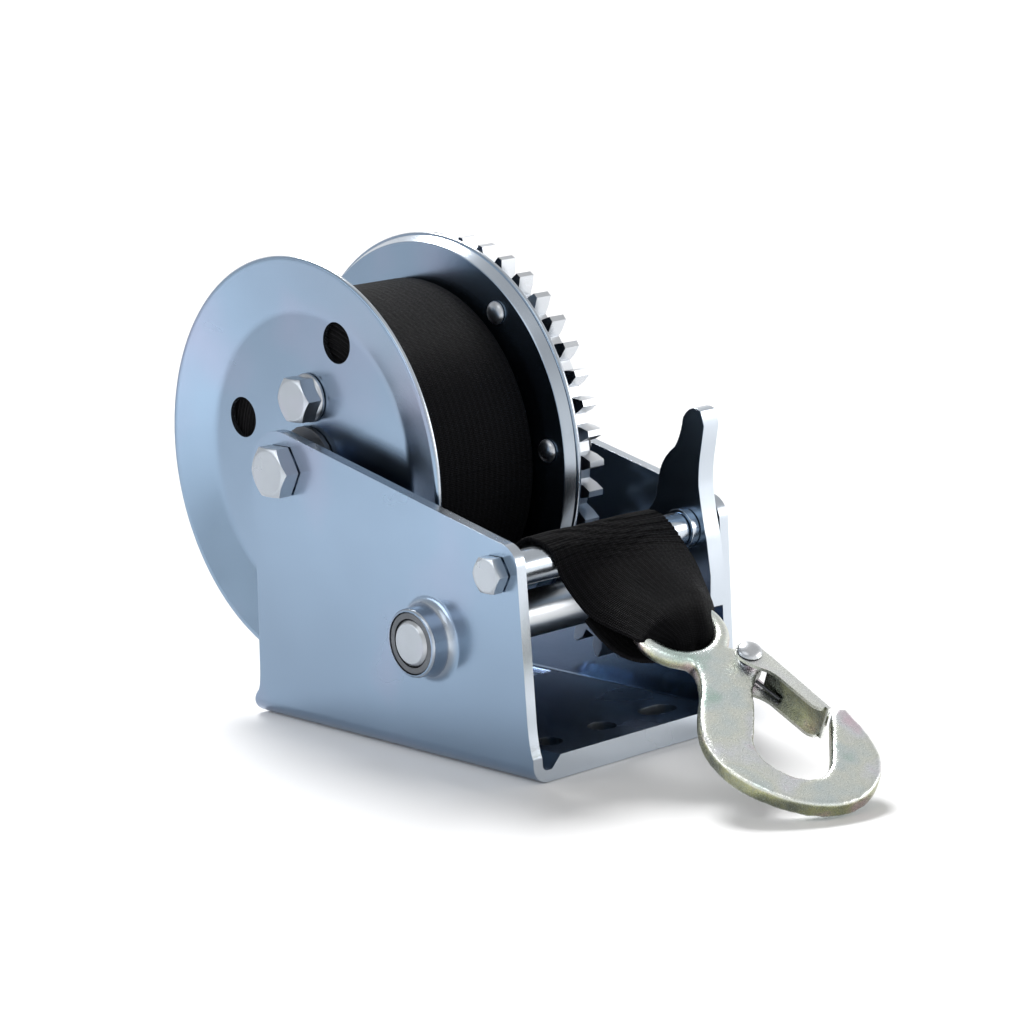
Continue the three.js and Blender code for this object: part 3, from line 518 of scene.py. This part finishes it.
def add_flanges():
    anchor = centre_of("strap_anchor_nut")
    bolt = (ANCHOR_HOLE_R, anchor.y, anchor.z)
    windows = [(WINDOW_R, AXLE.y - 17.9, AXLE.z + 44), (WINDOW_R, AXLE.y + 37.2, AXLE.z + 12.9)]
    add_flange(-1, "flange_left", rim=73.3, flat=52, flare=5.0, holes=[bolt, *windows])
    rivets = [(RIVET_HOLE_R, centre_of(n).y, centre_of(n).z) for n in RIVETS]
    add_flange(1, "flange_right", rim=74.2, flat=71, flare=3.6, holes=[bolt, *rivets])


def add_roll():
    """The wound strap: each layer is a rounded edge on the roll's two sides."""
    low, high = reach_of("strap_roll")
    outside, inside, layers = 58.9, 15.4, 27
    pitch = (outside - inside) / layers
    edge = []
    for k in range(layers):
        r = inside + pitch * k
        edge += [(r + pitch * 0.08, 0.55), (r + pitch * 0.3, 0.12), (r + pitch * 0.5, 0),
                 (r + pitch * 0.7, 0.12), (r + pitch * 0.92, 0.55)]
    left = [(r, low + x) for r, x in edge]
    face = [(outside - 0.05, low + 0.8 + (high - low - 1.6) * k / 12) for k in range(13)]
    right = [(r, high - x) for r, x in reversed(edge)]
    roll = Shape().lathe([*left, *face, *right], AXLE.y, AXLE.z, 160, closed=True)
    roll.piece("strap_roll_layers", "roll", "strap_roll", angle=70)


def add_rivets():
    for node in RIVETS:
        at = centre_of(node)
        head, tail = FLANGE_IN - GAP, GEAR_X[1] + GAP
        dome = [(4.1 * math.sin(a), head - 2.2 * math.cos(a))
                for a in [math.radians(10 * k) for k in range(10)]]
        shank = [(4.1, head), (2, head), (2, FLANGE_IN + SHEET + GAP), (4.6, FLANGE_IN + SHEET + GAP),
                 (4.6, GEAR_X[0] - GAP), (2, GEAR_X[0] - GAP), (2, tail), (3.2, tail)]
        tip = [(3.2 * math.cos(a), tail + 1.1 * math.sin(a))
               for a in [math.radians(15 * k) for k in range(7)]]
        Shape().lathe([*dome, *shank, *tip], at.y, at.z, 40).piece(node + "_dome", "fastener", node)


def add_anchor_bolt():
    low, high = reach_of("strap_anchor_bolt")
    at = centre_of("strap_anchor_nut")
    seat = -(FLANGE_IN + SHEET + GAP)
    shape = Shape().hexagon(15, seat - 1.6, seat - 1.6 - low, -1, at.y, at.z, CORNER)
    shape.lathe(soft([(0, seat), (8.6, seat), (8.6, seat - 1), (7.6, seat - 1.9), (0, seat - 1.9)], 0.3),
                at.y, at.z, 72)
    shape.lathe([(0, seat - 1), (5, seat - 1), (5, 24), (0, 24)], at.y, at.z, 48)
    shape.thread(5, 23.8, high, 1.5, at.y, at.z)
    shape.piece("strap_anchor_bolt_head", "fastener", "strap_anchor_bolt")
    refined("strap_anchor_nut", 0.35)


refined("hub_tube", 0.3)
refined("hub_bushing_left", 0.3)
refined("hub_bushing_right", 0.3)
refined("gear_spacer", 0.4)
refined("drum_gear", 0.45, look="gear")
add_flanges()
add_roll()
add_rivets()
add_anchor_bolt()


# ---- bolts and spacers on the frame -------------------------------------------------------
def through_bolt(node, flats, r, height, pitch):
    """A hexagon bolt from the left plate to its threaded end on the right."""
    at = centre_of(node)
    low, high = reach_of(node)
    face = low + height
    shape = Shape().hexagon(flats, face - 0.5, height - 0.5, -1, at.y, at.z, CORNER)
    shape.lathe(soft([(0, face), (flats * 0.47, face), (flats * 0.47, face - 0.6), (0, face - 0.6)], 0.2),
                at.y, at.z, 72)
    shape.lathe([(0, face - 0.4), (r, face - 0.4), (r, high - 22), (0, high - 22)], at.y, at.z, 48)
    shape.thread(r, high - 22.2, high, pitch, at.y, at.z)
    shape.piece(node + "_head", "fastener", node)


def washer(node, hole, outer):
    at = centre_of(node)
    low, high = reach_of(node)
    ring = soft([(hole, low), (outer, low), (outer, high), (hole, high), (hole, low)], 0.3)
    Shape().lathe(ring[:-1], at.y, at.z, 96, closed=True).piece(node + "_ring", "fastener", node)


def sleeve(node, hole, outer, look, edge=0.6):
    at = centre_of(node)
    low, high = reach_of(node)
    middle = [(outer, low + (high - low) * k / 8) for k in range(1, 8)]
    ring = [*soft([(hole, low + 0.1), (hole, low), (outer, low), middle[0]], edge),
            *middle[1:-1], *soft([middle[-1], (outer, high), (hole, high), (hole, high - 0.1)], edge)]
    Shape().lathe(ring, at.y, at.z, 96, closed=True).piece(node + "_sleeve", look, node)


def hex_nut(node, flats, r):
    at = centre_of(node)
    low, high = reach_of(node)
    half, crown, hole = flats / 2, flats / 2 * 0.94, r + GAP
    rows = [[] for _ in range(8)]
    for j in range(120):
        angle = 2 * math.pi * j / 120
        sector = (angle + math.pi / 6) % (math.pi / 3) - math.pi / 6
        edge = half / math.cos(sector)
        drop = max(0.0, edge - crown) * 0.5
        ring = [(hole, low + 0.8), (hole + 0.8, low), (crown, low), (edge, low + drop),
                (edge, high - drop), (crown, high), (hole + 0.8, high), (hole, high - 0.8)]
        for row, (rr, x) in zip(rows, ring):
            row.append((x, at.y - rr * math.cos(angle + CORNER), at.z + rr * math.sin(angle + CORNER)))
    Shape().grid(rows, wrap_rows=True, wrap_columns=True).piece(node + "_hex", "fastener", node)


through_bolt("drum_axle_bolt", flats=17, r=6, height=6.6, pitch=1.75)
through_bolt("tie_bolt", flats=11.6, r=4, height=4.8, pitch=1.25)
washer("drum_axle_washer", hole=6.3, outer=12)
hex_nut("drum_axle_nut", flats=17, r=6)
for side in ("left", "right"):
    sleeve("axle_spacer_" + side, hole=6.3, outer=9.5, look="plate")
sleeve("tie_spacer_tube", hole=4.3, outer=5.9, look="plate")
sleeve("pawl_spacer", hole=4.3, outer=7, look="plate")
for side in ("left", "right"):
    sleeve("shaft_bushing_" + side, hole=8.3, outer=10.4, look="bush", edge=0.5)


# ---- pinion shaft and crank ---------------------------------------------------------------
refined("drive_shaft", 0.25)
refined("pinion_gear", 0.4, look="gear")
sleeve("shaft_collar", hole=8.3, outer=12.5, look="plate", edge=0.9)
washer("crank_washer", hole=5.3, outer=11)
hex_nut("crank_nut", flats=17, r=5)
refined("crank_arm", 0.9, steps=3)
refined("grip_pin", 0.3)
washer("grip_washer", hole=4.3, outer=11)


def add_grip():
    """A moulded handle: a collar, a waisted barrel with shallow finger rings, and a rounded end."""
    low, high = reach_of("crank_grip")
    barrel = []
    for k in range(57):
        t = k / 56
        r = 11.7 + 1.7 * math.sin(math.pi * min(1, t * 1.12)) - 0.35 * (math.cos(t * 2 * math.pi * 7) > 0.4)
        barrel.append((r, low + 10 + (high - low - 22) * t))
    front = soft([(4.3, low), (12.5, low), (14, low + 1.5), (14, low + 5), (12, low + 8.5), barrel[0]], 0.8)
    back = soft([barrel[-1], (13.6, high - 6), (13.6, high - 2), (11.6, high), (8.6, high),
                 (8.6, high - 6), (4.3, high - 6)], 0.8)
    handle = Shape().lathe([*front, *barrel[1:-1], *back], GRIP.y, GRIP.z, 96, closed=True)
    handle.piece("crank_grip_handle", "grip", "crank_grip", angle=50)


add_grip()


# ---- pawl ---------------------------------------------------------------------------------
refined("pawl", 1.8, steps=4)


# ---- hook and latch -----------------------------------------------------------------------
def add_hook():
    """The forging: its solid is remeshed fine and worn smooth, so every edge is rounded."""
    piece = place_piece("hook_forging", frame["nodes"]["hook"].data.copy(), "hook", "hook")
    fine = piece.modifiers.new("fine", "REMESH")
    fine.mode = "VOXEL"
    fine.voxel_size = 0.75 * MM
    worn = piece.modifiers.new("worn", "SMOOTH")
    worn.factor = 0.5
    worn.iterations = 18
    settled(piece)
    for face in piece.data.polygons:
        face.use_smooth = True


add_hook()
refined("latch", 0.35, steps=2)
refined("latch_spring", 0, angle=60)


def add_latch_rivet():
    """The rivet across the hook: two peened domes and the shank between them."""
    half = 6.75
    dome = [(4.2 * math.cos(a), 2.0 * math.sin(a)) for a in [math.radians(12 * k) for k in range(8)]]
    dome = [*dome, (0, 2.0)]
    near = [(r, -half - x) for r, x in reversed(dome)]
    far = [(r, half + x) for r, x in dome]
    mesh = Shape().lathe([*near, (2, -half), (2, half), *far], segments=48).mesh("latch_rivet_domes")
    turn = Vector((1, 0, 0)).rotation_difference(LATCH_AXIS).to_matrix().to_4x4()
    mesh.transform(Matrix.Translation(JOINT["latch_hinge"]["pos_m"]) @ turn)
    shade(mesh)
    place_piece("latch_rivet_domes", mesh, "fastener", "latch_rivet")


add_latch_rivet()


# ---- strap tail ---------------------------------------------------------------------------
WEBBING = 48.6                         # width
THICK = 1.3
SPAN_STEPS = 12                        # rows of the mesh from one line of the table to the next
COLUMNS = 64
# Lines across the strap, from under the roll, over the tie tube, through the hook's eye and back:
# its left edge, its middle and its right edge, then the depth of the pleats.
TAIL = [
    ((-25.3, -24, 35.2), (-1.3, -24, 35.2), (22.7, -24, 35.2), 0),
    ((-25.3, -50, 48.2), (-1.3, -50, 48.2), (22.7, -50, 48.2), 0),
    ((-25.2, -80, 63.0), (0.0, -80, 63.0), (24.5, -80, 63.0), 0),
    ((-24.6, -99, 72.6), (3.0, -99, 72.8), (29.0, -98, 72.5), 0),
    ((-23.4, -106.5, 76.2), (5.0, -107, 76.4), (32.0, -107, 76.0), 0.1),
    ((-21.2, -114.3, 73.0), (6.0, -114, 73.8), (33.2, -113.5, 73.0), 0.2),
    ((-19.8, -116.6, 65.2), (6.8, -119.5, 69.6), (33.2, -120, 66.9), 0.3),
    ((-19.0, -120.5, 59.4), (7.2, -125.2, 65.2), (31.2, -127.5, 62.0), 0.4),
    ((-17.4, -126.8, 52.6), (7.4, -131.2, 61.6), (28.2, -134, 57.4), 0.6),
    ((-14.6, -133.6, 48.8), (7.4, -136.6, 59.2), (25.2, -140, 53.2), 0.8),
    ((-13.0, -140.4, 47.0), (6.6, -142.4, 57.0), (20.4, -146.2, 50.8), 0.8),
    ((-12.6, -146.4, 46.0), (4.0, -149.2, 54.0), (15.0, -151.0, 47.6), 0.6),
    ((-5.2, -150.0, 44.0), (3.4, -154.4, 45.8), (10.6, -155.2, 43.0), 0.5),
    ((-3.8, -149.6, 38.6), (3.4, -151.6, 39.0), (10.6, -153.4, 38.4), 0.5),
    ((-9.8, -143.6, 38.0), (4.4, -144.6, 39.6), (17.0, -147.0, 39.6), 0.5),
    ((-14.0, -137.6, 40.4), (4.2, -137.2, 43.6), (21.0, -139.6, 43.6), 0.5),
    ((-17.2, -132.4, 45.6), (4.0, -129.6, 49.6), (23.6, -131.6, 49.6), 0.4),
    ((-18.6, -126.8, 51.2), (4.6, -123.4, 56.6), (25.6, -125.0, 56.0), 0.3),
]


def smooth_between(value, start, end):
    t = min(1.0, max(0.0, (value - start) / (end - start)))
    return t * t * (3 - 2 * t)


def curve_through(points, per_span):
    """A smooth line through the points, as Catmull and Rom draw it."""
    padded = [points[0] * 2 - points[1], *points, points[-1] * 2 - points[-2]]
    line = []
    for a, b, c, d in zip(padded, padded[1:], padded[2:], padded[3:]):
        for k in range(per_span):
            t = k / per_span
            line.append((b * 2 + (c - a) * t + (a * 2 - b * 5 + c * 4 - d) * t ** 2
                         + (b * 3 - a - c * 3 + d) * t ** 3) / 2)
    line.append(points[-1].copy())
    return line


def add_tail():
    left, middle, right = ([Vector(row[k]) for row in TAIL] for k in range(3))
    lines = [curve_through(line, SPAN_STEPS) for line in (left, middle, right)]
    depths = [row[3] for row in TAIL]
    runs = [0.0]
    for a, b in zip(lines[1], lines[1][1:]):
        runs.append(runs[-1] + (b - a).length)
    rows = []
    for i, (low, at, high) in enumerate(zip(*lines)):
        forward = (lines[1][min(i + 1, len(runs) - 1)] - lines[1][max(i - 1, 0)]).normalized()
        up = (high - low).cross(forward).normalized()
        span, part = divmod(i / SPAN_STEPS, 1)
        after = depths[min(int(span) + 1, len(depths) - 1)]
        pleat = depths[int(span)] * (1 - part) + after * part
        run = runs[i]
        ripple = 0.5 * smooth_between(run, 84, 92) * (1 - smooth_between(run, 104, 116))
        row = []
        for j in range(COLUMNS + 1):
            t = 2 * j / COLUMNS - 1
            point = low * (t * (t - 1) / 2) + at * (1 - t * t) + high * (t * (t + 1) / 2)
            fold = pleat * (math.cos(5.3 * t + 0.9 * math.sin(run * 0.07))
                            + 0.35 * math.sin(11 * t + run * 0.12))
            crease = math.sin(run * 2.1 + 1.1 * math.sin(2.6 * t + 0.4) + 1.5 * t)
            wave = ripple * (1 - 2 * abs(crease) ** 0.6)
            row.append(tuple(point + up * (fold + wave)))
        rows.append(row)
    sheet = Shape().grid(rows, uv=lambda a, b: (runs[a], b * WEBBING / COLUMNS))
    mesh = sheet.mesh("strap_tail_webbing")
    for face in mesh.polygons:
        face.use_smooth = True
    piece = place_piece("strap_tail_webbing", mesh, "web", "strap_tail")
    thick = piece.modifiers.new("thick", "SOLIDIFY")
    thick.thickness = THICK * MM
    thick.offset = 0
    settled(piece)


add_tail()


# ---- floor and light ----------------------------------------------------------------------
FLOOR = 30.0                           # metres from the middle to each side


def add_floor():
    floor_mesh = bpy.data.meshes.new("floor")
    corners = [(-FLOOR, -FLOOR, 0), (FLOOR, -FLOOR, 0), (FLOOR, FLOOR, 0), (-FLOOR, FLOOR, 0)]
    floor_mesh.from_pydata(corners, [], [(0, 1, 2, 3)])
    floor = bpy.data.objects.new("floor", floor_mesh)
    floor.location.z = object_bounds()[0].z - 0.0002
    bpy.context.scene.collection.objects.link(floor)
    paint = Finish("floor_paint", Roughness=0.55)
    paint.shader.inputs["Specular IOR Level"].default_value = 0.2
    colour = paint.mix(paint.noise(2.5, 2), (0.93, 0.93, 0.935), (0.96, 0.96, 0.96))
    floor_mesh.materials.append(paint.feed(Base_Color=colour))


def add_light(name, place, aim, size, power, colour=(1, 1, 1)):
    data = bpy.data.lights.new(name, "AREA")
    data.shape = "RECTANGLE"
    data.size, data.size_y = size
    data.energy = power
    data.color = colour
    lamp = bpy.data.objects.new(name, data)
    bpy.context.scene.collection.objects.link(lamp)
    lamp.location = place
    lamp.rotation_euler = (Vector(aim) - Vector(place)).to_track_quat("-Z", "Y").to_euler()


def add_world():
    """A studio that looks bright all round at eye level, with a dimmer ceiling."""
    world = bpy.data.worlds.new("studio")
    world.use_nodes = True
    bpy.context.scene.world = world
    nodes, links = world.node_tree.nodes, world.node_tree.links
    split = nodes.new("ShaderNodeSeparateXYZ")
    links.new(nodes.new("ShaderNodeTexCoord").outputs["Generated"], split.inputs["Vector"])
    fade = nodes.new("ShaderNodeMapRange")
    for socket, value in (("From Min", 0.25), ("From Max", 0.65), ("To Min", 1.0), ("To Max", 0.6)):
        fade.inputs[socket].default_value = value
    links.new(split.outputs["Z"], fade.inputs["Value"])
    soft_part = nodes.new("ShaderNodeMapRange")
    soft_part.inputs["To Min"].default_value = 1.0
    soft_part.inputs["To Max"].default_value = 0.5
    links.new(nodes.new("ShaderNodeLightPath").outputs["Is Diffuse Ray"], soft_part.inputs["Value"])
    strength = nodes.new("ShaderNodeMath")
    strength.operation = "MULTIPLY"
    links.new(fade.outputs["Result"], strength.inputs[0])
    links.new(soft_part.outputs["Result"], strength.inputs[1])
    links.new(strength.outputs["Value"], nodes["Background"].inputs["Strength"])
    nodes["Background"].inputs["Color"].default_value = (1, 1, 1, 1)


def add_sun(place, strength, spread):
    """A far overhead softbox: a broad even light whose shadow falls towards the strap side."""
    data = bpy.data.lights.new("overhead", "SUN")
    data.energy = strength
    data.angle = math.radians(spread)
    lamp = bpy.data.objects.new("overhead", data)
    bpy.context.scene.collection.objects.link(lamp)
    lamp.rotation_euler = Vector(place).to_track_quat("Z", "Y").to_euler()


add_floor()
add_world()
add_sun((0.35, 0.75, 1.0), 3.0, 22)
add_light("key", (-0.9, -0.5, 1.3), (0, -0.03, 0.06), (1.1, 0.8), 3)
add_light("left_floor", (-0.5, 0.13, 0.22), (-0.5, 0.13, 0), (0.4, 0.4), 1.6)
add_light("fill", (0.95, -1.15, 0.45), (0, -0.05, 0.06), (0.9, 0.6), 6)
bpy.context.scene.view_settings.view_transform = "Standard"
